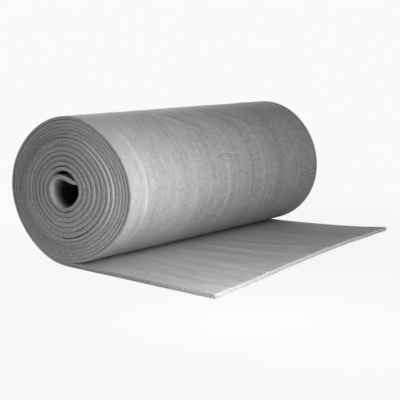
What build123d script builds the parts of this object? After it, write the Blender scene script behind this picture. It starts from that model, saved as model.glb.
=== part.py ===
from build123d import *
import math
import os

# A roll of closed-cell foam insulation, lying on its side with the outer end of the sheet laid out on the floor.
# One foam sheet is wound round an open bore. X runs along the roll, the loose end points to -Y, and +Z is up.
# The origin is on the floor, below the middle of the whole outline.

# The sheet, in millimetres, with the length that lies on the floor in front of the roll's axis
sheet_width = 1000.0
sheet_thickness = 10.0
loose_end_length = 425.0

# The winding: its bore, the air between neighbouring turns, and how deep that air is open at each end
bore_radius = 40.0
turn_slack = 0.7
turn_gap_depth = 8.0
whole_turns = 13

# The inner end of the sheet: a bend tighter than the bore, then a straight run to just short of the far wall
inner_bend_radius = 23.0
inner_end_clearance = 0.7
bend_start_angle = 160.0
bend_stop_angle = 75.0

# Angles of the section, as seen from the -X end, where the sheet winds inwards clockwise
floor_angle = 270.0
top_angle = 90.0
quarter_turn = 90.0

# Sizes that follow from the winding
turn_pitch = sheet_thickness + turn_slack
outer_radius = bore_radius + whole_turns * turn_pitch + sheet_thickness
front_step = turn_pitch / 2
axis_y = (loose_end_length - outer_radius) / 2

# The section has -Y to the right and +Z up, and starts from the floor below the roll's axis
section_plane = Plane(origin=(0, axis_y, 0), x_dir=(0, -1, 0), z_dir=(-1, 0, 0))

# The spiral is made of half circles. Those at the back share one centre, and those in front share another, half a
# pitch higher and half a pitch smaller, so that each turn runs smoothly on into the next.
back_centre = Vector(0, outer_radius)
front_centre = Vector(0, outer_radius + front_step)


def direction(angle):
    return Vector(math.cos(math.radians(angle)), math.sin(math.radians(angle)))


def arc(centre, radius, start_angle, stop_angle):
    return CenterArc(centre, radius, start_angle, stop_angle - start_angle)


def back_half(radius, stop_angle=top_angle):
    return arc(back_centre, radius, floor_angle, stop_angle)


def front_half(radius):
    return arc(front_centre, radius - front_step, top_angle, -top_angle)


# The straight run of the inner end stops where its outer side comes within the clearance of the bore's front wall
bend_direction = direction(bend_start_angle)
run_normal = direction(bend_stop_angle)
run_direction = direction(bend_stop_angle - quarter_turn)
bend_centre = back_centre + bend_direction * (bore_radius - inner_bend_radius)
outer_bend_radius = inner_bend_radius + sheet_thickness
run_start = bend_centre + run_normal * inner_bend_radius
run_start_outer = bend_centre + run_normal * outer_bend_radius
reach_radius = bore_radius + front_step - inner_end_clearance
from_front_centre = run_start_outer - front_centre
run_back = from_front_centre.dot(run_direction)
run_length = math.sqrt(reach_radius**2 - from_front_centre.dot(from_front_centre) + run_back**2) - run_back
run_end = run_start + run_direction * run_length
run_end_outer = run_start_outer + run_direction * run_length

# The bore's wall in front of the inner end is the inside of the second turn
second_turn_radius = bore_radius + turn_pitch
last_gap_inner = back_centre + bend_direction * (bore_radius + sheet_thickness)
last_gap_outer = back_centre + bend_direction * second_turn_radius

with BuildPart() as foam_roll:
    with BuildSketch(section_plane):
        # Outside of the roll and of its loose end, with the thin wedge of air between the two
        with BuildLine():
            Line((loose_end_length, 0), (0, 0))
            back_half(outer_radius)
            front_half(outer_radius)
            Line((0, turn_pitch), (0, sheet_thickness))
            Line((0, sheet_thickness), (loose_end_length, sheet_thickness))
            Line((loose_end_length, sheet_thickness), (loose_end_length, 0))
        make_face()

        # Bore, round both sides of the inner end that stands across it
        with BuildLine():
            arc(back_centre, second_turn_radius, bend_start_angle, top_angle)
            front_half(second_turn_radius)
            back_half(bore_radius, bend_start_angle)
            arc(bend_centre, inner_bend_radius, bend_start_angle, bend_stop_angle)
            Line(run_start, run_end)
            Line(run_end, run_end_outer)
            Line(run_end_outer, run_start_outer)
            arc(bend_centre, outer_bend_radius, bend_stop_angle, bend_start_angle)
            Line(last_gap_inner, last_gap_outer)
        make_face(mode=Mode.SUBTRACT)
    extrude(amount=sheet_width / 2, both=True)

    # The turns show on both ends as one spiral gap, from the wedge above the loose end in to the bore
    for side in (1, -1):
        with BuildSketch(section_plane.offset(side * sheet_width / 2)):
            with BuildLine():
                for depth in (sheet_thickness, turn_pitch):
                    for turn in range(whole_turns - 1):
                        back_half(outer_radius - turn * turn_pitch - depth)
                        front_half(outer_radius - turn * turn_pitch - depth)
                    back_half(second_turn_radius + sheet_thickness - depth, bend_start_angle)
                Line((0, sheet_thickness), (0, turn_pitch))
                Line(last_gap_inner, last_gap_outer)
            make_face()
        extrude(amount=-side * turn_gap_depth, mode=Mode.SUBTRACT)

foam_roll.part.label = "foam_roll"
os.makedirs("parts", exist_ok=True)
export_step(foam_roll.part, "parts/foam_roll.step")
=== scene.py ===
import math

import bpy
from mathutils import Matrix, Vector


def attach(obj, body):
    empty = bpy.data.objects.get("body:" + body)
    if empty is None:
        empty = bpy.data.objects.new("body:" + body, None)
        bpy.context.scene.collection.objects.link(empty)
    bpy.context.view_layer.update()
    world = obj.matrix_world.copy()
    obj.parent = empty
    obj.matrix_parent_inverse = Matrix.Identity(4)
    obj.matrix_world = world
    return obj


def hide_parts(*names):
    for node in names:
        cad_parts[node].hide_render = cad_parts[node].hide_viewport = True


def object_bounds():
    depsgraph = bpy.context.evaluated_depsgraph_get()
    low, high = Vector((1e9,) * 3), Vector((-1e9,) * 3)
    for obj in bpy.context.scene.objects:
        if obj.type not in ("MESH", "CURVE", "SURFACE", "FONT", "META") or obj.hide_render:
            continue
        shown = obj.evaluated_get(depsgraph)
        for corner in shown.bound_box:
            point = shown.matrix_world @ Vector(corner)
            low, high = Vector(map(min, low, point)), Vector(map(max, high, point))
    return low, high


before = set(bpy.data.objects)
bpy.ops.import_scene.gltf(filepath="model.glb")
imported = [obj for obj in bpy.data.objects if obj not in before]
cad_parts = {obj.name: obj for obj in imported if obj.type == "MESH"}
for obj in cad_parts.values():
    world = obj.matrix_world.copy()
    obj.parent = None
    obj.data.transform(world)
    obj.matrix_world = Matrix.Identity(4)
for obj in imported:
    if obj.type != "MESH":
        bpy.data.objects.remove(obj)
cadLow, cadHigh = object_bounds()
mm = 0.001  # metres in a millimetre


def linear(hexColour):  # sRGB hex to the linear colour that nodes and lamps take
    parts = [int(hexColour[i:i + 2], 16) / 255 for i in (1, 3, 5)]
    return [c / 12.92 if c <= 0.04045 else ((c + 0.055) / 1.055) ** 2.4 for c in parts] + [1.0]


def addNode(tree, kind, inputs=(), out=0, **settings):  # a socket is linked, any other value is set
    node = tree.nodes.new(kind)
    for name, value in settings.items():
        setattr(node, name, value)
    for key, value in inputs.items() if isinstance(inputs, dict) else enumerate(inputs):
        if isinstance(value, bpy.types.NodeSocket):
            tree.links.new(value, node.inputs[key])
        else:
            node.inputs[key].default_value = value
    return node.outputs[out] if len(node.outputs) else node


# The nodes used most
def calc(tree, operation, *values):
    return addNode(tree, "ShaderNodeMath", values, operation=operation)


def product(tree, first, *others):
    for other in others:
        first = calc(tree, "MULTIPLY", first, other)
    return first


def calcVector(tree, operation, *values, out=0):  # out is 1 where the result is a number
    return addNode(tree, "ShaderNodeVectorMath", values, out, operation=operation)


def scaled(tree, vector, by):
    return addNode(tree, "ShaderNodeVectorMath", {0: vector, "Scale": by}, operation="SCALE")


def combined(tree, *parts):
    return addNode(tree, "ShaderNodeCombineXYZ", parts)


def separated(tree, vector):
    return addNode(tree, "ShaderNodeSeparateXYZ", (vector,)).node.outputs


def mapped(tree, value, start, stop, low, high, shape="LINEAR"):  # clamped to the new range
    return addNode(tree, "ShaderNodeMapRange", (value, start, stop, low, high), interpolation_type=shape)


def mappedVector(tree, value, start, stop, high):  # from zero up, on the node's sockets for vectors
    inputs = {6: value, 7: start, 8: stop, 9: (0, 0, 0), 10: high}
    return addNode(tree, "ShaderNodeMapRange", inputs, 1, data_type="FLOAT_VECTOR")


def noiseAt(tree, place, scale, detail, out=0):
    if isinstance(scale, tuple):  # one number for each direction
        place, scale = calcVector(tree, "MULTIPLY", place, scale), 1.0
    return addNode(tree, "ShaderNodeTexNoise", {"Vector": place, "Scale": scale, "Detail": detail}, out)


def noiseAlong(tree, at, scale, detail):
    inputs = {"W": at, "Scale": scale, "Detail": detail}
    return addNode(tree, "ShaderNodeTexNoise", inputs, noise_dimensions="1D")


def centred(tree, noise):  # noise lies between 0 and 1
    return calc(tree, "SUBTRACT", noise, 0.5)


def stored(tree, geometry, name, value, kind, domain="POINT"):
    inputs = {"Geometry": geometry, "Name": name, "Value": value}
    return addNode(tree, "GeometryNodeStoreNamedAttribute", inputs, data_type=kind, domain=domain)


def named(tree, name, kind):
    return addNode(tree, "GeometryNodeInputNamedAttribute", {"Name": name}, data_type=kind)


# The roll's own sizes, read from the frame
sheetWidth = cadHigh.x - cadLow.x
rollRadius = (cadHigh.z - cadLow.z) / 2
axisY = cadHigh.y - rollRadius
cadLoose = axisY - cadLow.y

winding = {
    "turns": 13,
    "thickness": 10.4 * mm,  # of the flat sheet
    "swell": 1.14,  # how much thicker the turns that have sprung open may be
    "looseLength": cadLoose + 9 * mm,  # the flat end, a little longer than the solid's
    "loosePoints": 40,
    "boreRadius": 40 * mm,
    "looseTurns": 6,  # innermost turns that have sprung open
    "loosePitch": 12.6 * mm,
    "pathStep": 2.5,  # degrees between points of the path
    "bendRadius": 27 * mm,  # inner end: a tight bend, a slack one, then straight to the front wall
    "slackRadius": 60 * mm,
    "bendAngles": (150, 88, 77),
    "straightPoints": 8,
    "wallGap": 0.6 * mm,
    "tip": (0.9, 0.78, 0.64),  # share of the room at the last points: pressed thin against the wall
    "tipShare": 0.5,  # of the half thickness, where the tip meets the wall
    # by turn, counted from the outside, in millimetres: slip along the roll, negative to the near end
    "slip": ((0, 0), (2.9, -0.4), (3.5, -1.2), (4.9, -2), (5.5, -6.5), (5.95, -7), (6.55, -10.8),
             (8.9, -11.5), (9.4, -12.6), (13.6, -13)),
    "backShift": ((0, 0), (4, 0.5), (6.5, 1.6), (9, 5), (11, 7.4), (13.6, 7.4)),  # core lies off centre
    # air round each turn in millimetres: below, behind, above and in front of the roll's middle
    "gap": ((0.1, 1.7, 0.3, 1.2), (0.3, 2.7, 0.5, 2.3), (0.4, 1.2, 0.5, 0.3), (0.2, 1.0, 0.4, 0.3),
            (0.2, 1.0, 0.4, 0.3), (0.2, 1.0, 0.5, 0.3), (0.8, 2.2, 1.2, 0.7), (1.3, 1.4, 0.8, 0.5),
            (0.3, 0.7, 0.6, 0.5), (0.4, 2.3, 1.6, 0.8), (0.4, 2.3, 1.6, 1.0), (0.8, 2.5, 1.8, 1.6),
            (1.6, 2.4, 2.6, 3.2), (3.4, 3.6, 3.6, 3.6)),
    "uneven": ((0.25, 8.3, 0), (0.2, 4.1, 1)),  # waves of that air: share, radians in a turn, start
    # painted shade in the seam inside each turn, and the share of it below, behind, above and in front
    "seam": (0.9, 0.35, 0.6, 0.6, 0.4, 0.45, 1.0, 0.75, 0.35, 1.0, 0.9, 1.0, 0.8, 0),
    "seamAround": (0.3, 1.0, 0.6, 0.2),
}


def alongTable(table, at):
    for (a, va), (b, vb) in zip(table, table[1:]):
        if at <= b:
            return va + (vb - va) * (at - a) / (b - a)
    return table[-1][1]


def windingPath():  # points of the section, with the turn and the room for the sheet at each
    w = winding
    half = w["thickness"] / 2
    steps = 2 * w["turns"]
    looseSteps = 2 * w["looseTurns"]
    travel = rollRadius - half - (w["boreRadius"] + half)
    tight = (travel - looseSteps * w["loosePitch"] / 2) / (steps - looseSteps)
    widths = [tight if n < steps - looseSteps else w["loosePitch"] / 2 for n in range(steps)]
    points, turns, rooms = [], [], []

    def arc(centre, radius, start, stop, room):
        count = max(2, round(abs(stop - start) / w["pathStep"]))
        for i in range(1, count + 1):
            a = math.radians(start + (stop - start) * i / count)
            points.append((centre[0] + radius * math.cos(a), centre[1] + radius * math.sin(a)))
            turns.append(turns[-1] + abs(stop - start) / count / 360)
            rooms.append(room)

    for i in range(w["loosePoints"] + 1):  # the loose end, from its cut edge back to below the axis
        points.append((w["looseLength"] * (1 - i / w["loosePoints"]), half))
        turns.append(0.0)
        rooms.append(2 * tight)
    radius, height = rollRadius - half, rollRadius
    for n in range(steps):  # half turns, up the back and down the front
        back = n % 2 == 0
        arc((0, height), radius, 270 if back else 90, 90 if back else -90, 2 * widths[n])
        radius -= widths[n]
        height += widths[n] if back else -widths[n]
    start, slack, stop = w["bendAngles"]
    arc((0, height), radius, 270, start, w["loosePitch"])

    def onward(centre, radius, newRadius, angle):  # centre of the next bend, which runs smoothly on
        a = math.radians(angle)
        shift = radius - newRadius
        return centre[0] + shift * math.cos(a), centre[1] + shift * math.sin(a)

    bend = onward((0, height), radius, w["bendRadius"], start)
    arc(bend, w["bendRadius"], start, slack, w["loosePitch"])
    bend = onward(bend, w["bendRadius"], w["slackRadius"], slack)
    arc(bend, w["slackRadius"], slack, stop, w["loosePitch"])

    # Straight on until the outer side is near the front wall
    wallCentre, wallRadius = height + widths[-1], radius + widths[-1] - half - w["wallGap"]
    a = math.radians(stop)
    ahead = Vector((math.sin(a), -math.cos(a)))
    tipHalf = Vector((math.cos(a), math.sin(a))) * half * w["tipShare"]
    end = Vector(points[-1])
    corner = end + tipHalf - Vector((0, wallCentre))
    inLine = corner.dot(ahead)
    run = -inLine + math.sqrt(inLine ** 2 - corner.length_squared + wallRadius ** 2)
    count = w["straightPoints"]
    thins = (1,) * (count - len(w["tip"])) + w["tip"]
    for i, thin in enumerate(thins, 1):
        points.append(tuple(end + ahead * run * i / count))
        turns.append(turns[-1])
        rooms.append(w["loosePitch"] * thin)
    points = [(u - alongTable(w["backShift"], t) * mm, v) for (u, v), t in zip(points, turns)]
    return points, turns, rooms


path, turnOf, roomOf = windingPath()
lengths = [0.0]
for a, b in zip(path, path[1:]):
    lengths.append(lengths[-1] + math.dist(a, b))
pathLength = lengths[-1]


def lengthAt(turn):
    return next(along for along, at in zip(lengths, turnOf) if at >= turn)


print("winding path", round(pathLength, 3), "m of sheet,", len(path), "points")

sheetShape = {
    "outerTurns": 1.02,  # how much of the winding has the fine mesh
    "outerStep": 11 * mm,
    "coreStep": 9 * mm,
    "outerColumns": 251,
    "coreColumns": 7,
    "layers": 5,  # points through the thickness
    "outerCorner": 0.9 * mm,
    "coreCorner": 1.0 * mm,  # where the turns have sprung open
    "tightCorner": 0.45 * mm,  # where they are pressed together
    "springTurns": (5.5, 7.5),  # between which the one goes over into the other
    # noise is given in a metre, or in a metre of each direction, with its detail
    "wander": 1.2 * mm,  # sideways, along the sheet
    "wanderNoise": (9.0, 2.0),
    "ragged": 1.5 * mm,  # how far the cut end waves
    "raggedNoise": (14.0, 2.0),
    "raggedFrom": 0.7,  # share of the loose end
    "nearReach": 14 * mm,  # the cut is not square: its near corner reaches further
    "reachFrom": 0.5,  # share of the loose end
    "reachPower": 3.0,  # of the place across
    "turnSpan": 0.6,  # metres that a turn, and the loose end, count for in the noise of the relief
    "looseSpan": 0.4,
    "bandHeight": 1.0 * mm,  # soft bands round the roll
    "bandNoise": ((11, 3, 1), 2.0),
    "dentHeight": 2.0 * mm,
    "dentNoise": (4.5, 1.0),
    "weave": 20 * mm,  # how far the roll's ridges wave
    "weaveNoise": (7.0, 1.0),
    "reliefTurns": (0.36, 0.47),  # from the top, over which the relief fades: it lies flat on the floor
    "sway": 90 * mm,  # how far the loose end's ridges wave
    "swayNoise": (6.0, 1.0),
    "streakShare": 2.0,  # of the bands' height, for streaks on the loose end
    "streakNoise": ((28, 5, 1), 2.0),
    "reliefFrom": (0.12, 0.4),  # shares of the loose end, over which its relief sets in
    "ripple": 2.5 * mm,  # of the loose end, off the floor
    "rippleNoise": (5.0, 1.0),
    "rippleRange": (0.4, 0.75),
    # the soft section's harmonics: size and even ones, then uneven ones
    "nearEven": (-0.0087, 0.0210, 0.0139),
    "nearOdd": (0.0149, 0.0051, 0.0001),
    "farEven": (0.0261, -0.0284, -0.0002),
    "farOdd": (0.0186, -0.0033, 0.0003),
    "bulge": -0.0034,  # more or less size halfway along the roll
    "nearSag": 1.22,  # above 1, the near end's section gives way sooner
    "nearFlare": -19 * mm,  # the loose end's corners stand a little wide
    "farFlare": 10.5 * mm,
    "farLift": 23.5 * mm,  # and the far one has curled up from the floor
    "middleLift": 11 * mm,  # with the edge beside it
}

# Ridges, and grooves where the height is negative: place across, slope, middle and half length of the
# stretch, width, height, and what is left of it elsewhere. Lengths across are in metres; along is in turns,
# or in shares of the loose end.
rollRidges = (
    (-0.478, 0, 0.70, 0.02, 0.004, 0.0008, 0.1), (-0.426, 0, 0.68, 0.09, 0.005, 0.0026, 0.25),
    (-0.295, 0, 0.67, 0.10, 0.007, 0.0009, 0.4), (-0.200, 0, 0.68, 0.12, 0.010, 0.0012, 0.4),
    (-0.035, 0, 0.70, 0.09, 0.008, 0.0012, 0.5), (0.025, 0, 0.70, 0.09, 0.006, -0.0008, 0.5),
    (0.095, 0, 0.67, 0.11, 0.006, -0.0009, 0.4), (0.163, 0, 0.67, 0.12, 0.009, 0.0016, 0.4),
    (0.280, 0, 0.70, 0.12, 0.010, -0.0010, 0.5), (0.380, 0, 0.68, 0.12, 0.011, 0.0010, 0.5),
    (-0.125, 1.6, 0.545, 0.03, 0.010, -0.0022, 0), (-0.030, 1.6, 0.550, 0.03, 0.010, -0.0016, 0),
    (0.055, 1.6, 0.550, 0.03, 0.010, -0.0016, 0), (0.140, 1.6, 0.550, 0.03, 0.010, -0.0020, 0),
    (-0.150, 1.6, 0.555, 0.03, 0.010, 0.0018, 0), (-0.055, 1.6, 0.560, 0.03, 0.010, 0.0012, 0),
    (0.115, 1.6, 0.560, 0.03, 0.010, 0.0014, 0),
)
looseRidges = (
    (-0.400, -0.04, 0.5, 0.4, 0.009, -0.0010, 0.4), (-0.340, -0.04, 0.5, 0.4, 0.010, -0.0015, 0.5),
    (-0.250, 0.00, 0.8, 0.3, 0.012, 0.0010, 0.3), (-0.150, 0.02, 0.4, 0.3, 0.012, 0.0012, 0.4),
    (-0.110, 0.02, 0.5, 0.4, 0.012, -0.0010, 0.4), (-0.052, 0.05, 0.6, 0.5, 0.012, 0.0020, 0.5),
    (-0.020, 0.05, 0.6, 0.5, 0.013, -0.0012, 0.5), (0.055, 0.05, 0.7, 0.3, 0.012, 0.0012, 0.4),
    (0.083, 0.05, 0.6, 0.4, 0.012, -0.0012, 0.4), (0.230, 0.03, 0.6, 0.4, 0.014, 0.0010, 0.4),
    (0.300, 0.03, 0.6, 0.4, 0.014, -0.0010, 0.4), (0.385, 0.02, 0.6, 0.4, 0.014, 0.0010, 0.4),
)


def newTree(name, floats, vectors=(), ints=()):
    tree = bpy.data.node_groups.new(name, "GeometryNodeTree")
    sockets = (("Geometry", ("Source",)), ("Float", floats), ("Vector", vectors), ("Int", ints))
    for kind, labels in sockets:
        for label in labels:
            tree.interface.new_socket(label, in_out="INPUT", socket_type="NodeSocket" + kind)
    tree.interface.new_socket("Sheet", in_out="OUTPUT", socket_type="NodeSocketGeometry")
    return tree, tree.nodes.new("NodeGroupInput").outputs


def ridgeSum(tree, table, x, along):
    total = 0.0
    for place, slope, middle, half, width, height, left in table:
        off = calc(tree, "SUBTRACT", along, middle)
        line = calc(tree, "MULTIPLY_ADD", off, slope, place)
        aside = calc(tree, "SUBTRACT", x, line)
        aside = calc(tree, "DIVIDE", aside, width)
        aside = calc(tree, "MULTIPLY", aside, aside)
        crest = calc(tree, "POWER", math.exp(-1), aside)
        off = calc(tree, "ABSOLUTE", off)
        fade = mapped(tree, off, half / 2, half * 1.5, height, left * height, "SMOOTHSTEP")  # eased out
        total = calc(tree, "MULTIPLY_ADD", crest, fade, total)
    return total


sharedFloats = ("Width", "Thickness", "Tight Corner", "Tight To", "Sprung From", "Loose Length",
                "First Turn", "Wander", "Ragged", "Near Reach", "Band Height", "Dent Height")
stretchFloats = ("Start", "Length", "Corner", "Rounded End", "Relief") + sharedFloats


def stretchTree(name):
    # One stretch of the flat sheet, wound along the path
    k = sheetShape
    tree, given = newTree(name, stretchFloats, ints=("Sections", "Columns"))
    block = addNode(tree, "GeometryNodeMeshCube", {
        "Size": (2, 2, 2), "Vertices X": given["Sections"], "Vertices Y": given["Columns"],
        "Vertices Z": k["layers"]})
    up = separated(tree, addNode(tree, "GeometryNodeInputNormal"))[2]
    up = calc(tree, "ABSOLUTE", up)
    isCut = addNode(tree, "FunctionNodeCompare", (up, 0.5), data_type="FLOAT", operation="LESS_THAN")
    block = stored(tree, block, "cutFace", isCut, "BOOLEAN", "FACE")

    # Flat sheet: even columns, with the last one a corner's radius from each edge, and corners rounded
    unit = addNode(tree, "GeometryNodeInputPosition")
    inward = calcVector(tree, "SUBTRACT", (1, 1, 1), calcVector(tree, "ABSOLUTE", unit))
    steps = []
    for label in ("Sections", "Columns"):
        count = calc(tree, "SUBTRACT", given[label], 1.0)
        steps.append(calc(tree, "DIVIDE", 2.0, count))
    firstStep = combined(tree, *steps, 2 / (k["layers"] - 1))
    unitX = separated(tree, unit)[0]
    roughly = mapped(tree, unitX, -1.0, 1.0, 0.0, given["Length"])
    roughly = calc(tree, "ADD", roughly, given["Start"])
    corner = mapped(tree, roughly, given["Tight To"], given["Sprung From"],
                    given["Tight Corner"], given["Corner"])
    size = combined(tree, given["Length"], given["Width"], given["Thickness"])
    halfSize = scaled(tree, size, 0.5)
    edgePart = mappedVector(tree, inward, (0, 0, 0), firstStep, corner)
    inner = calcVector(tree, "SUBTRACT", halfSize, corner)
    innerPart = mappedVector(tree, inward, firstStep, (1, 1, 1), inner)
    depth = calcVector(tree, "ADD", edgePart, innerPart)
    freeEnd = calc(tree, "MULTIPLY", unitX, given["Rounded End"])
    freeEnd = calc(tree, "GREATER_THAN", freeEnd, 0.0)
    inCorner = calcVector(tree, "SUBTRACT", corner, depth)
    inCorner = calcVector(tree, "MAXIMUM", inCorner, (0, 0, 0))
    inCorner = calcVector(tree, "MULTIPLY", inCorner, combined(tree, freeEnd, 1.0, 1.0))
    reach = calcVector(tree, "LENGTH", inCorner, out=1)
    pull = calc(tree, "DIVIDE", corner, reach)
    pull = calc(tree, "SUBTRACT", 1.0, pull)
    pull = calc(tree, "MAXIMUM", 0.0, pull)
    depth = calcVector(tree, "ADD", depth, scaled(tree, inCorner, pull))
    flat = calcVector(tree, "SUBTRACT", halfSize, depth)
    flat = calcVector(tree, "MULTIPLY", flat, calcVector(tree, "SIGN", unit))
    middle = calc(tree, "MULTIPLY_ADD", given["Length"], 0.5, given["Start"])
    place = calcVector(tree, "ADD", flat, combined(tree, middle))
    block = stored(tree, block, "sheetPlace", place, "FLOAT_VECTOR")

    # Where each point lies on the sheet: from the cut end, across, and in the thickness
    s, x, w = separated(tree, named(tree, "sheetPlace", "FLOAT_VECTOR"))
    turned = calc(tree, "SUBTRACT", s, given["Loose Length"])
    ahead = calc(tree, "DIVIDE", turned, given["Loose Length"])
    ahead = calc(tree, "SUBTRACT", 0.0, ahead)
    turned = calc(tree, "DIVIDE", turned, given["First Turn"])

    # Relief: bands, dents and ridges on the outside of the roll
    spread = combined(tree, x, calc(tree, "MULTIPLY", turned, k["turnSpan"]))
    bands = centred(tree, noiseAt(tree, spread, *k["bandNoise"]))
    dents = centred(tree, noiseAt(tree, spread, *k["dentNoise"]))
    weave = noiseAt(tree, spread, *k["weaveNoise"])
    xWavy = calc(tree, "MULTIPLY_ADD", weave, k["weave"], x)
    onRoll = ridgeSum(tree, rollRidges, xWavy, turned)
    onRoll = calc(tree, "MULTIPLY_ADD", bands, given["Band Height"], onRoll)
    onRoll = calc(tree, "MULTIPLY_ADD", dents, given["Dent Height"], onRoll)
    fromTop = calc(tree, "SUBTRACT", turned, 0.5)
    fromTop = calc(tree, "ABSOLUTE", fromTop)
    clear = mapped(tree, fromTop, *k["reliefTurns"], 1.0, 0.0, "SMOOTHSTEP")
    onRoll = calc(tree, "MULTIPLY", onRoll, clear)

    # and long ridges and streaks on top of the loose end
    laid = combined(tree, x, calc(tree, "MULTIPLY", ahead, k["looseSpan"]))
    sway = noiseAt(tree, laid, *k["swayNoise"])
    xSway = calc(tree, "MULTIPLY_ADD", sway, k["sway"], x)
    xSway = calc(tree, "SUBTRACT", xSway, k["sway"] / 2)
    onLoose = ridgeSum(tree, looseRidges, xSway, ahead)
    streaks = noiseAt(tree, laid, *k["streakNoise"])
    streakHeight = calc(tree, "MULTIPLY", given["Band Height"], k["streakShare"])
    onLoose = calc(tree, "MULTIPLY_ADD", streaks, streakHeight, onLoose)
    clear = mapped(tree, ahead, *k["reliefFrom"], 0.0, 1.0, "SMOOTHSTEP")
    onLoose = calc(tree, "MULTIPLY", onLoose, clear)
    side = calc(tree, "DIVIDE", w, given["Thickness"])
    outside = calc(tree, "ADD", side, 0.5)
    topside = calc(tree, "SUBTRACT", side, 0.5)  # outwards is down there
    onRoll = calc(tree, "MULTIPLY", onRoll, outside)
    onLoose = calc(tree, "MULTIPLY", onLoose, topside)
    relief = calc(tree, "ADD", onRoll, onLoose)
    relief = calc(tree, "MULTIPLY", relief, given["Relief"])
    raised = calc(tree, "MULTIPLY_ADD", onLoose, -1.0, onRoll)
    raised = calc(tree, "MULTIPLY", raised, given["Relief"])
    block = stored(tree, block, "raised", raised, "FLOAT")

    # Wind it: along the path, with its thickness outwards and its width along the roll
    rag = centred(tree, noiseAlong(tree, x, *k["raggedNoise"]))
    nearCut = mapped(tree, ahead, k["raggedFrom"], 1.0, 0.0, given["Ragged"])
    along = calc(tree, "MULTIPLY_ADD", rag, nearCut, s)
    nearSide = calc(tree, "DIVIDE", x, given["Width"])
    nearSide = calc(tree, "SUBTRACT", 0.5, nearSide)
    nearSide = calc(tree, "POWER", nearSide, k["reachPower"])
    longer = mapped(tree, ahead, k["reachFrom"], 1.0, 0.0, given["Near Reach"])
    longer = calc(tree, "MULTIPLY", nearSide, longer)
    along = calc(tree, "SUBTRACT", along, longer)
    curve = addNode(tree, "GeometryNodeMeshToCurve", (given["Source"],))
    onPath = addNode(tree, "GeometryNodeSampleCurve", {
        "Curves": curve, "Value": named(tree, "carried", "FLOAT_VECTOR"), "Length": along},
        mode="LENGTH", data_type="FLOAT_VECTOR").node.outputs
    slip, thin, seam = separated(tree, onPath["Value"])
    # the seams' painted shade goes on to the material
    block = stored(tree, block, "seam", seam, "FLOAT")
    outward = calcVector(tree, "CROSS_PRODUCT", onPath["Tangent"], (1, 0, 0))
    stray = centred(tree, noiseAlong(tree, s, *k["wanderNoise"]))
    slip = calc(tree, "MULTIPLY_ADD", stray, given["Wander"], slip)
    across = calc(tree, "ADD", x, slip)
    outBy = calc(tree, "MULTIPLY_ADD", w, thin, relief)
    spot = calcVector(tree, "ADD", scaled(tree, outward, outBy), onPath["Position"])
    spot = calcVector(tree, "ADD", spot, combined(tree, across))
    past = calc(tree, "MINIMUM", along, 0.0)  # before the path's start
    spot = calcVector(tree, "ADD", spot, combined(tree, 0.0, past))
    block = addNode(tree, "GeometryNodeSetPosition", {"Geometry": block, "Position": spot})
    addNode(tree, "NodeGroupOutput", (block,))
    return tree


restFloats = ("Width", "Radius", "Axis", "Loose Length", "Near Flare", "Far Flare", "Far Lift",
              "Middle Lift", "Ripple", "Bulge", "Near Sag")
restVectors = ("Near Even", "Near Odd", "Far Even", "Far Odd")


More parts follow.
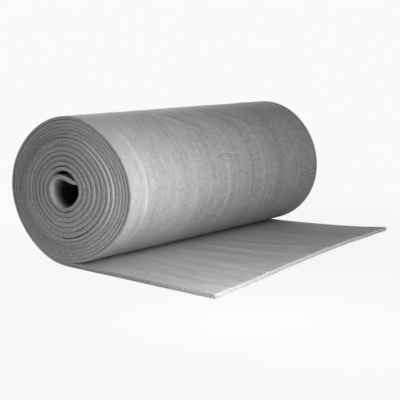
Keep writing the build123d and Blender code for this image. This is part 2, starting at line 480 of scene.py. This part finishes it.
def restTree(name):
    # How the wound sheet lies: a soft section that is not quite round, a loose end that is not quite flat
    k = sheetShape
    tree, given = newTree(name, restFloats, restVectors)
    spot = addNode(tree, "GeometryNodeInputPosition")
    s, x = separated(tree, named(tree, "sheetPlace", "FLOAT_VECTOR"))[:2]
    share = calc(tree, "DIVIDE", x, given["Width"])
    share = calc(tree, "ADD", share, 0.5)
    ahead = calc(tree, "SUBTRACT", given["Loose Length"], s)
    ahead = calc(tree, "DIVIDE", ahead, given["Loose Length"])
    isWound = calc(tree, "LESS_THAN", ahead, 0.0)
    ahead = calc(tree, "MAXIMUM", ahead, 0.0)

    # The section's harmonics, chosen so that it stays level where it stands on the floor
    centre = combined(tree, 0.0, given["Axis"], given["Radius"])
    arm = calcVector(tree, "SUBTRACT", spot, centre)
    arm = calcVector(tree, "MULTIPLY", arm, (0, 1, 1))
    armY, armZ = separated(tree, arm)[1:]
    angle = calc(tree, "ARCTAN2", armZ, armY)
    cosine, sine = {}, {}
    for n in (2, 3, 4):
        phase = calc(tree, "MULTIPLY", angle, n)
        cosine[n] = calc(tree, "COSINE", phase)
        sine[n] = calc(tree, "SINE", phase)
    evenWaves = combined(tree, 1.0, cosine[2], cosine[4])
    second = calc(tree, "MULTIPLY_ADD", cosine[3], -2 / 3, sine[2])
    fourth = calc(tree, "MULTIPLY_ADD", cosine[3], 4 / 3, sine[4])
    oddWaves = combined(tree, second, sine[3], fourth)
    nearness = calc(tree, "SUBTRACT", 1.0, share)
    blend = calc(tree, "POWER", nearness, given["Near Sag"])
    blend = calc(tree, "SUBTRACT", 1.0, blend)
    even, odd = (addNode(tree, "ShaderNodeMix", {
        0: blend, 4: given["Near " + kind], 5: given["Far " + kind]}, out=1,
        data_type="VECTOR", clamp_factor=False) for kind in ("Even", "Odd"))
    bulge = product(tree, nearness, share, 4.0, given["Bulge"])  # 4 makes it whole in the middle
    grown = []
    atFloor = ((1, -1, 1), (0, 1, 0))  # the same waves there
    for evenPart, oddPart in ((evenWaves, oddWaves), atFloor):
        evenSum = calcVector(tree, "DOT_PRODUCT", even, evenPart, out=1)
        oddSum = calcVector(tree, "DOT_PRODUCT", odd, oddPart, out=1)
        both = calc(tree, "ADD", evenSum, oddSum)
        grown.append(calc(tree, "ADD", both, bulge))
    raised = calc(tree, "MULTIPLY", grown[1], given["Radius"])
    swell = scaled(tree, arm, grown[0])
    swell = calcVector(tree, "ADD", swell, combined(tree, 0.0, 0.0, raised))
    swell = scaled(tree, swell, isWound)
    spot = calcVector(tree, "ADD", spot, swell)

    # The loose end: corners spread, the far one lifted, and a slight ripple
    flare = addNode(tree, "ShaderNodeMix", {0: share, 2: given["Near Flare"], 3: given["Far Flare"]})
    flare = calc(tree, "MULTIPLY", flare, ahead)
    rise = calc(tree, "MULTIPLY", ahead, ahead)
    lift = calc(tree, "MULTIPLY", share, given["Far Lift"])
    hump = calc(tree, "MULTIPLY", share, math.pi)
    hump = calc(tree, "SINE", hump)
    hump = calc(tree, "MULTIPLY", hump, share)
    lift = calc(tree, "MULTIPLY_ADD", hump, given["Middle Lift"], lift)
    ripple = noiseAt(tree, combined(tree, x, ahead), *k["rippleNoise"])
    ripple = mapped(tree, ripple, *k["rippleRange"], 0.0, given["Ripple"])
    lift = calc(tree, "ADD", lift, ripple)
    lift = calc(tree, "MULTIPLY", lift, rise)
    spot = calcVector(tree, "ADD", spot, combined(tree, flare, 0.0, lift))
    sheet = addNode(tree, "GeometryNodeSetPosition", {"Geometry": given["Source"], "Position": spot})
    addNode(tree, "NodeGroupOutput", (sheet,))
    return tree


def sheetTree(skin, cut):
    # The whole sheet: a fine outer stretch that shows from all sides, and the turns inside it
    own = ("Outer Length", "Path Length", "Outer Corner", "Core Corner")
    floats = dict.fromkeys(own + sharedFloats + restFloats)  # each once
    counts = ("Outer Sections", "Core Sections", "Outer Columns", "Core Columns")
    tree, given = newTree("woundFoamSheet", floats, restVectors, counts)
    stretch = stretchTree("sheetStretch")
    join = addNode(tree, "GeometryNodeJoinGeometry").node
    coreLength = calc(tree, "SUBTRACT", given["Path Length"], given["Outer Length"])
    parts = {
        "Outer ": {"Start": 0.0, "Length": given["Outer Length"], "Rounded End": -1.0, "Relief": 1.0,
                   "Tight Corner": given["Outer Corner"]},
        "Core ": {"Start": given["Outer Length"], "Length": coreLength, "Rounded End": 1.0, "Relief": 0.0},
    }
    for part, values in parts.items():
        inputs = {label: given[label] for label in ("Source",) + sharedFloats}
        inputs |= {label: given[part + label] for label in ("Corner", "Sections", "Columns")}
        made = addNode(tree, "GeometryNodeGroup", inputs | values, node_tree=stretch)
        tree.links.new(made, join.inputs[0])
    inputs = {label: given[label] for label in restFloats + restVectors} | {"Source": join.outputs[0]}
    sheet = addNode(tree, "GeometryNodeGroup", inputs, node_tree=restTree("sheetAtRest"))
    sheet = addNode(tree, "GeometryNodeSetShadeSmooth", (sheet,))
    sheet = addNode(tree, "GeometryNodeRealizeInstances", (sheet,))
    sheet = addNode(tree, "GeometryNodeSetMaterial", {"Geometry": sheet, "Material": skin})
    sheet = addNode(tree, "GeometryNodeSetMaterial", {
        "Geometry": sheet, "Selection": named(tree, "cutFace", "BOOLEAN"), "Material": cut})
    addNode(tree, "NodeGroupOutput", (sheet,))
    return tree


def newMaterial(name):
    material = bpy.data.materials.new(name)
    material.use_nodes = True
    material.node_tree.nodes.clear()
    return material, material.node_tree


def addSurface(tree, colour, roughness, bump, specular):
    shader = addNode(tree, "ShaderNodeBsdfPrincipled", {
        "Base Color": colour, "Roughness": roughness, "Normal": bump, "Specular IOR Level": specular})
    addNode(tree, "ShaderNodeOutputMaterial", {"Surface": shader})


skinLook = {
    "colour": "#A8A8A8",
    # noise in a metre, or in a metre along, across and through the sheet, its detail, and its range to tones
    "mottle": (26.0, 3.0, (0.25, 0.75, 0.93, 1.07)),
    "streak": ((2.5, 60, 0), 3.0, (0.3, 0.7, 0.92, 1.08)),
    "grain": (380, 1.0, (0.3, 0.7, 0.88, 1.12)),  # real cells are about 1 mm, drawn at 2.6 mm to show at all
    "flecks": (120, 2.0, (0.3, 0.7, 0.91, 1.09)),  # soft ones, about 8 mm wide
    "grainDepth": 0.25 * mm,
    "roughness": (0.3, 0.7, 0.55, 0.68),  # from the mottle's noise
    "specular": 0.05,
    "rubHeight": 2.0 * mm,  # a crest this high gets the full painted highlight, and a hollow as deep the full painted shade
    "rubPale": 1.19,
    "creases": ((11, 70, 1.0), (22, 14, 0.5)),  # spacing round and along the roll in millimetres, strength
    "creaseWidth": 1.4 * mm,  # half of it; real ones are hair-fine, drawn this wide to show at all
    "creaseCore": 0.4,  # share of that width at full strength
    "creaseEnds": (0.25, 0.6),  # shares of the longer spacing, over which a crease runs out
    "creaseWaves": ((45.0, 2.0, 10 * mm), (9.0, 1.0, 70 * mm)),  # noise in a metre, its detail, how far
    "creasePatches": (11.0, 2.0, (0.35, 0.6, 0.2, 1.0)),  # noise, its detail, and its range to strengths
    "creaseAcross": (-0.42, 0.0, 0.15, 1.0),  # metres from the middle to strengths, faint at the near end
    "creaseStart": 50 * mm,  # of the first turn, over which they set in
    # tone of the painted shade along the creases
    "creaseDark": 0.57,
    "creaseDepth": 0.5 * mm,
    "coreFrom": 12.0,  # turns; from there on, inside the bore, the sheet gets painted shade
    "coreDepth": (8 * mm, 45 * mm),  # from either end, over which that sets in
    # the tone left where that painted shade is full
    "coreDark": 0.2,
}


def creaseNet(tree, place):
    # A short dash in each cell, along the cell's longer side
    k = skinLook
    swayed = place
    for scale, detail, far in k["creaseWaves"]:
        wave = noiseAt(tree, place, scale, detail, out=1)
        swayed = calcVector(tree, "MULTIPLY_ADD", wave, (far, far, 0), swayed)
    crease = 0.0
    for roundStep, alongStep, strength in k["creases"]:
        size = (roundStep * mm, alongStep * mm, 1)
        cells = calcVector(tree, "DIVIDE", swayed, size)
        cell = addNode(tree, "ShaderNodeTexVoronoi", {"Vector": cells, "Scale": 1.0},
                       voronoi_dimensions="2D").node.outputs
        aside = calcVector(tree, "SUBTRACT", cells, cell["Position"])
        aside = calcVector(tree, "MULTIPLY", aside, size)
        aside = calcVector(tree, "ABSOLUTE", aside)
        onward, off = separated(tree, aside)[:2]
        if alongStep > roundStep:
            onward, off = off, onward
        longest = max(size[:2])
        line = mapped(tree, off, k["creaseWidth"] * k["creaseCore"], k["creaseWidth"], strength, 0.0)
        reach = mapped(tree, onward, *(longest * end for end in k["creaseEnds"]), 1.0, 0.0)
        chance = separated(tree, cell["Color"])[0]
        line = product(tree, line, reach, chance)
        crease = calc(tree, "MAXIMUM", crease, line)
    s, x = separated(tree, place)[:2]
    scale, detail, shares = k["creasePatches"]
    patch = mapped(tree, noiseAt(tree, place, scale, detail), *shares)
    farther = mapped(tree, x, *k["creaseAcross"])
    looseLength = winding["looseLength"]
    bent = mapped(tree, s, looseLength, looseLength + k["creaseStart"], 0.0, 1.0)
    return product(tree, crease, patch, farther, bent)


def foamSkin():
    # The sheet's rolled skin: matt grey with a faint sheen, mottled and streaked along its length, with a
    # net of hair creases drawn with painted shade where it bends round the roll, painted highlight on the
    # relief's crests and painted shade in its hollows, and painted shade deep inside the bore
    k = skinLook
    material, tree = newMaterial("polyethyleneFoamSkin")
    place = addNode(tree, "ShaderNodeAttribute", out=1, attribute_name="sheetPlace")
    s, x = separated(tree, place)[:2]
    noises, tones = {}, []
    for name in ("mottle", "streak", "grain", "flecks"):
        scale, detail, toTones = k[name]
        noises[name] = noiseAt(tree, place, scale, detail)
        tones.append(mapped(tree, noises[name], *toTones))
    # Painted highlight on the relief's crests and painted shade in its hollows
    raised = addNode(tree, "ShaderNodeAttribute", out=2, attribute_name="raised")
    tones.append(mapped(tree, raised, -k["rubHeight"], k["rubHeight"], 2 - k["rubPale"], k["rubPale"]))
    crease = creaseNet(tree, place)
    # painted shade along the hair creases
    tones.append(mapped(tree, crease, 0.0, 1.0, 1.0, k["creaseDark"]))
    # Painted shade deep inside the bore, on the innermost turn, fading in from the roll's ends
    deep = calc(tree, "ABSOLUTE", x)
    deep = calc(tree, "SUBTRACT", sheetWidth / 2, deep)
    dull = mapped(tree, deep, *k["coreDepth"], 0.0, 1 - k["coreDark"])
    inner = calc(tree, "GREATER_THAN", s, lengthAt(k["coreFrom"]))
    dull = calc(tree, "MULTIPLY", dull, inner)
    tones.append(calc(tree, "SUBTRACT", 1.0, dull))
    colour = scaled(tree, linear(k["colour"])[:3], product(tree, *tones))
    height = calc(tree, "MULTIPLY", crease, -k["creaseDepth"])
    height = calc(tree, "MULTIPLY_ADD", noises["grain"], k["grainDepth"], height)
    bump = addNode(tree, "ShaderNodeBump", {"Strength": 1.0, "Distance": 1.0, "Height": height})
    rough = mapped(tree, noises["mottle"], *k["roughness"])
    addSurface(tree, colour, rough, bump, k["specular"])
    return material


cutLook = {
    "colour": "#A6A6A6",
    "roughness": 0.85,
    "specular": 0.02,
    "cells": 260,  # in a metre; real cells are about 1 mm, drawn at 4 mm to show at all
    "cellDepth": 0.8 * mm,
    "cellBump": 0.6,
    "pits": (0.0, 0.8, 0.82, 1.10),  # from a cell's middle outwards, to tones
    "speckle": (338, 2.0, (0.3, 0.7, 0.70, 1.30)),  # noise in a metre, its detail, and its range to tones
    "drift": (3.0, 2.0, (0.25, 0.75, 0.92, 1.08)),  # the same, along the sheet
    "skinShare": 0.60,  # of the half thickness, where the paler skin starts
    "skinPale": 1.08,
    "seamShare": 0.25,  # of the half thickness, where the inner side's painted seam shade starts
    "seamDark": 0.85,  # painted shade; real seams are hair-fine, drawn this wide to show at all
    "freshPale": (1.25, 2.3),  # painted light on the cut across the loose end, at its near and far corner
    "freshDepth": (1 * mm, 3 * mm),  # from that cut
}


def foamCut():
    # A knife's cut through the sheet: open cells that look speckled, between two thin paler skins, with
    # painted shade along the seams between turns and painted light on the loose end's cut
    k = cutLook
    half = winding["thickness"] / 2
    material, tree = newMaterial("cutPolyethyleneFoam")
    place = addNode(tree, "ShaderNodeAttribute", out=1, attribute_name="sheetPlace")
    s, x, w = separated(tree, place)
    where = addNode(tree, "ShaderNodeTexCoord", out=3)
    cells = addNode(tree, "ShaderNodeTexVoronoi", {"Vector": where, "Scale": k["cells"]})
    pits = mapped(tree, cells, *k["pits"])
    scale, detail, toTones = k["speckle"]
    speckle = mapped(tree, noiseAt(tree, where, scale, detail), *toTones)
    scale, detail, toTones = k["drift"]
    drift = mapped(tree, noiseAlong(tree, s, scale, detail), *toTones)
    skin = calc(tree, "ABSOLUTE", w)
    skin = calc(tree, "DIVIDE", skin, half)
    skin = mapped(tree, skin, k["skinShare"], 1.0, 1.0, k["skinPale"])
    # Painted shade along the seams between turns, on the inner side of each sheet
    seam = addNode(tree, "ShaderNodeAttribute", out=2, attribute_name="seam")
    shade = mapped(tree, w, -half, -half * k["seamShare"], k["seamDark"], 0.0)
    shade = calc(tree, "MULTIPLY", shade, seam)
    shade = calc(tree, "SUBTRACT", 1.0, shade)
    # Painted light on the loose end's cut, more towards its far corner
    pale = mapped(tree, x, -sheetWidth / 2, sheetWidth / 2, *k["freshPale"])
    edgeLight = mapped(tree, s, *k["freshDepth"], pale, 1.0)
    tone = product(tree, speckle, pits, drift, skin, shade, edgeLight)
    colour = scaled(tree, linear(k["colour"])[:3], tone)
    height = calc(tree, "MULTIPLY", cells, k["cellDepth"])
    bump = addNode(tree, "ShaderNodeBump", {"Strength": k["cellBump"], "Distance": 1.0, "Height": height})
    addSurface(tree, colour, k["roughness"], bump, k["specular"])
    return material


def windingGuide():
    # The path as a line of points, each with its slip, the thickness left and the painted shade of its seam
    w = winding
    mesh = bpy.data.meshes.new("windingPath")
    mesh.from_pydata([(0, axisY - u, v) for u, v in path], [(i, i + 1) for i in range(len(path) - 1)], [])
    carried = mesh.attributes.new("carried", "FLOAT_VECTOR", "POINT")
    gaps = [(n + i / 4, air) for n, row in enumerate(w["gap"]) for i, air in enumerate(row)]
    around = [(i / 4, share) for i, share in enumerate(w["seamAround"] * 2)]
    values = []
    for turn, room in zip(turnOf, roomOf):
        uneven = sum((share * math.sin(turn * pace + start) for share, pace, start in w["uneven"]), 1)
        air = alongTable(gaps, turn) * mm * uneven
        left = min(w["swell"], (room - air) / w["thickness"]) if turn > 0 else 1
        seam = w["seam"][int(turn)] * alongTable(around, turn % 1) if turn > 0 else 0
        values += [alongTable(w["slip"], turn) * mm, left, seam]
    carried.data.foreach_set("vector", values)
    guide = bpy.data.objects.new("windingGuide", mesh)
    bpy.context.scene.collection.objects.link(guide)
    return guide


def buildSheet():
    k = sheetShape
    guide = windingGuide()
    tree = sheetTree(foamSkin(), foamCut())
    firstTurn = 2 * math.pi * rollRadius
    outerLength = winding["looseLength"] + k["outerTurns"] * firstTurn
    tightTo, sprungFrom = (lengthAt(turn) for turn in k["springTurns"])
    measures = {
        "Outer Length": outerLength, "Path Length": pathLength, "Width": sheetWidth, "Radius": rollRadius,
        "Thickness": winding["thickness"], "Loose Length": winding["looseLength"], "First Turn": firstTurn,
        "Axis": axisY, "Tight To": tightTo, "Sprung From": sprungFrom,
        "Outer Sections": round(outerLength / k["outerStep"]),
        "Core Sections": round((pathLength - outerLength) / k["coreStep"]),
    }
    modifier = guide.modifiers.new("wound", "NODES")
    modifier.node_group = tree
    for item in tree.interface.items_tree:
        if item.in_out == "INPUT" and item.name != "Source":
            first, *others = item.name.split()
            setting = first.lower() + "".join(others)  # such as nearFlare for Near Flare
            modifier[item.identifier] = measures[item.name] if item.name in measures else k[setting]
    depsgraph = bpy.context.evaluated_depsgraph_get()
    made = bpy.data.meshes.new_from_object(
        guide.evaluated_get(depsgraph), preserve_all_data_layers=True, depsgraph=depsgraph)
    bpy.data.objects.remove(guide)
    made.name = "foam_sheet"
    piece = bpy.data.objects.new("foam_sheet", made)
    bpy.context.scene.collection.objects.link(piece)
    triangles = sum(len(p.vertices) - 2 for p in made.polygons)
    print("wound sheet", len(made.vertices), "points", triangles, "triangles")
    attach(piece, "root")
    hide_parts("foam_roll")


buildSheet()

# Camera, at the photograph's angle
shot = {
    "azimuth": -58.066,
    "elevation": 8.756,
    "roll": 3.013,
    "distance": 14.3603,  # in roll radii, as the target is, from the floor below the roll's axis
    "target": (0, -0.5, 0.6),
    "focalPixels": 952.0,
    "centrePixel": (209.09, 205.66),
    "framePixels": 400,
    "sensor": 36.0,
    "clip": (0.05, 50),
}


def addCamera():
    s = shot
    a, e, lean = (math.radians(s[k]) for k in ("azimuth", "elevation", "roll"))
    back = Vector((math.sin(a) * math.cos(e), -math.cos(a) * math.cos(e), math.sin(e)))
    target = Vector((0, axisY, 0)) + Vector(s["target"]) * rollRadius
    data = bpy.data.cameras.new("photoCamera")
    data.sensor_width = s["sensor"]
    data.lens = s["focalPixels"] / s["framePixels"] * s["sensor"]
    data.shift_x = 0.5 - s["centrePixel"][0] / s["framePixels"]
    data.shift_y = s["centrePixel"][1] / s["framePixels"] - 0.5
    data.clip_start, data.clip_end = s["clip"]
    camera = bpy.data.objects.new("photoCamera", data)
    bpy.context.scene.collection.objects.link(camera)
    turn = (-back).to_track_quat("-Z", "Y").to_matrix().to_4x4() @ Matrix.Rotation(lean, 4, "Z")
    camera.matrix_world = Matrix.Translation(target + back * s["distance"] * rollRadius) @ turn
    bpy.context.scene.camera = camera


addCamera()
print("camera placed")

studio = {
    "background": "#F9F9F9",
    "floorColour": "#E6E6E6",
    "floorSide": 30.0,
    "floorDrop": 0.5 * mm,  # below the sheet
    "floorGlow": 0.95,  # how much of the floor that the camera sees is plain background
    "shadowReach": (0.7, 1.6),  # metres from the roll over which the floor's own shade fades out
    "fillColour": "#FFFFFF",
    "fill": 0.055,
    # place, aim, size, watts
    "lamps": {
        "nearBox": ((-0.70, -0.75, 0.60), (-0.3, -0.1, 0.15), 0.4, 4.3),
        "wideBox": ((-0.70, -1.20, 0.70), (-0.1, 0.0, 0.2), 0.6, 5.0),
        "lowBox": ((-0.55, -0.80, 0.35), (-0.3, 0.0, 0.15), 0.3, 0.55),
        "smallBox": ((-0.68, -0.55, 0.20), (-0.5, -0.08, 0.14), 0.2, 0.9),
        "highBox": ((-0.30, -0.90, 1.30), (-0.1, 0.0, 0.2), 0.6, 1.9),
        "sideBox": ((-0.80, 0.90, 0.80), (-0.5, 0.1, 0.2), 0.5, 1.4),
        "backBox": ((-0.10, 1.32, 0.88), (0.0, 0.15, 0.3), 0.8, 18.0),
        "farBox": ((1.20, 1.20, 0.60), (0.4, 0.15, 0.2), 0.8, 7.2),
    },
}


def seenDirectly(tree):  # by the camera, in a mirror or through glass
    rays = addNode(tree, "ShaderNodeLightPath").node.outputs
    direct = calc(tree, "MAXIMUM", rays["Is Glossy Ray"], rays["Is Transmission Ray"])
    return calc(tree, "MAXIMUM", rays["Is Camera Ray"], direct)


def addFloor():
    k = studio
    h = k["floorSide"] / 2
    mesh = bpy.data.meshes.new("studioFloor")
    mesh.from_pydata([(-h, -h, 0), (h, -h, 0), (h, h, 0), (-h, h, 0)], [], [(0, 1, 2, 3)])
    floor = bpy.data.objects.new("studioFloor", mesh)
    bpy.context.scene.collection.objects.link(floor)
    floor.location.z = -k["floorDrop"]
    material, tree = newMaterial("paleStudioFloor")
    mesh.materials.append(material)
    place = addNode(tree, "ShaderNodeTexCoord", out=3)
    far = calcVector(tree, "LENGTH", place, out=1)
    far = mapped(tree, far, *k["shadowReach"], k["floorGlow"], 1.0, "SMOOTHSTEP")
    share = calc(tree, "MULTIPLY", seenDirectly(tree), far)
    matt = addNode(tree, "ShaderNodeBsdfDiffuse", {"Color": linear(k["floorColour"])})
    glow = addNode(tree, "ShaderNodeEmission", {"Color": linear(k["background"]), "Strength": 1.0})
    mixed = addNode(tree, "ShaderNodeMixShader", (share, matt, glow))
    addNode(tree, "ShaderNodeOutputMaterial", {"Surface": mixed})


def addWorld():
    k = studio
    world = bpy.data.worlds.new("studio")
    bpy.context.scene.world = world
    world.use_nodes = True
    tree = world.node_tree
    tree.nodes.clear()
    fill = addNode(tree, "ShaderNodeBackground", {"Color": linear(k["fillColour"]), "Strength": k["fill"]})
    pale = addNode(tree, "ShaderNodeBackground", {"Color": linear(k["background"]), "Strength": 1.0})
    mixed = addNode(tree, "ShaderNodeMixShader", (seenDirectly(tree), fill, pale))
    addNode(tree, "ShaderNodeOutputWorld", {"Surface": mixed})


def addLamps():
    for name, (spot, aim, size, watts) in studio["lamps"].items():
        lamp = bpy.data.lights.new(name, "AREA")
        lamp.energy, lamp.size = watts, size
        box = bpy.data.objects.new(name, lamp)
        bpy.context.scene.collection.objects.link(box)
        box.location = spot
        box.visible_camera = False
        box.rotation_euler = (Vector(aim) - Vector(spot)).to_track_quat("-Z", "Y").to_euler()


addFloor()
addWorld()
addLamps()
print("stage and", len(studio["lamps"]), "lamps placed")
bpy.context.scene.view_settings.view_transform = "Standard"
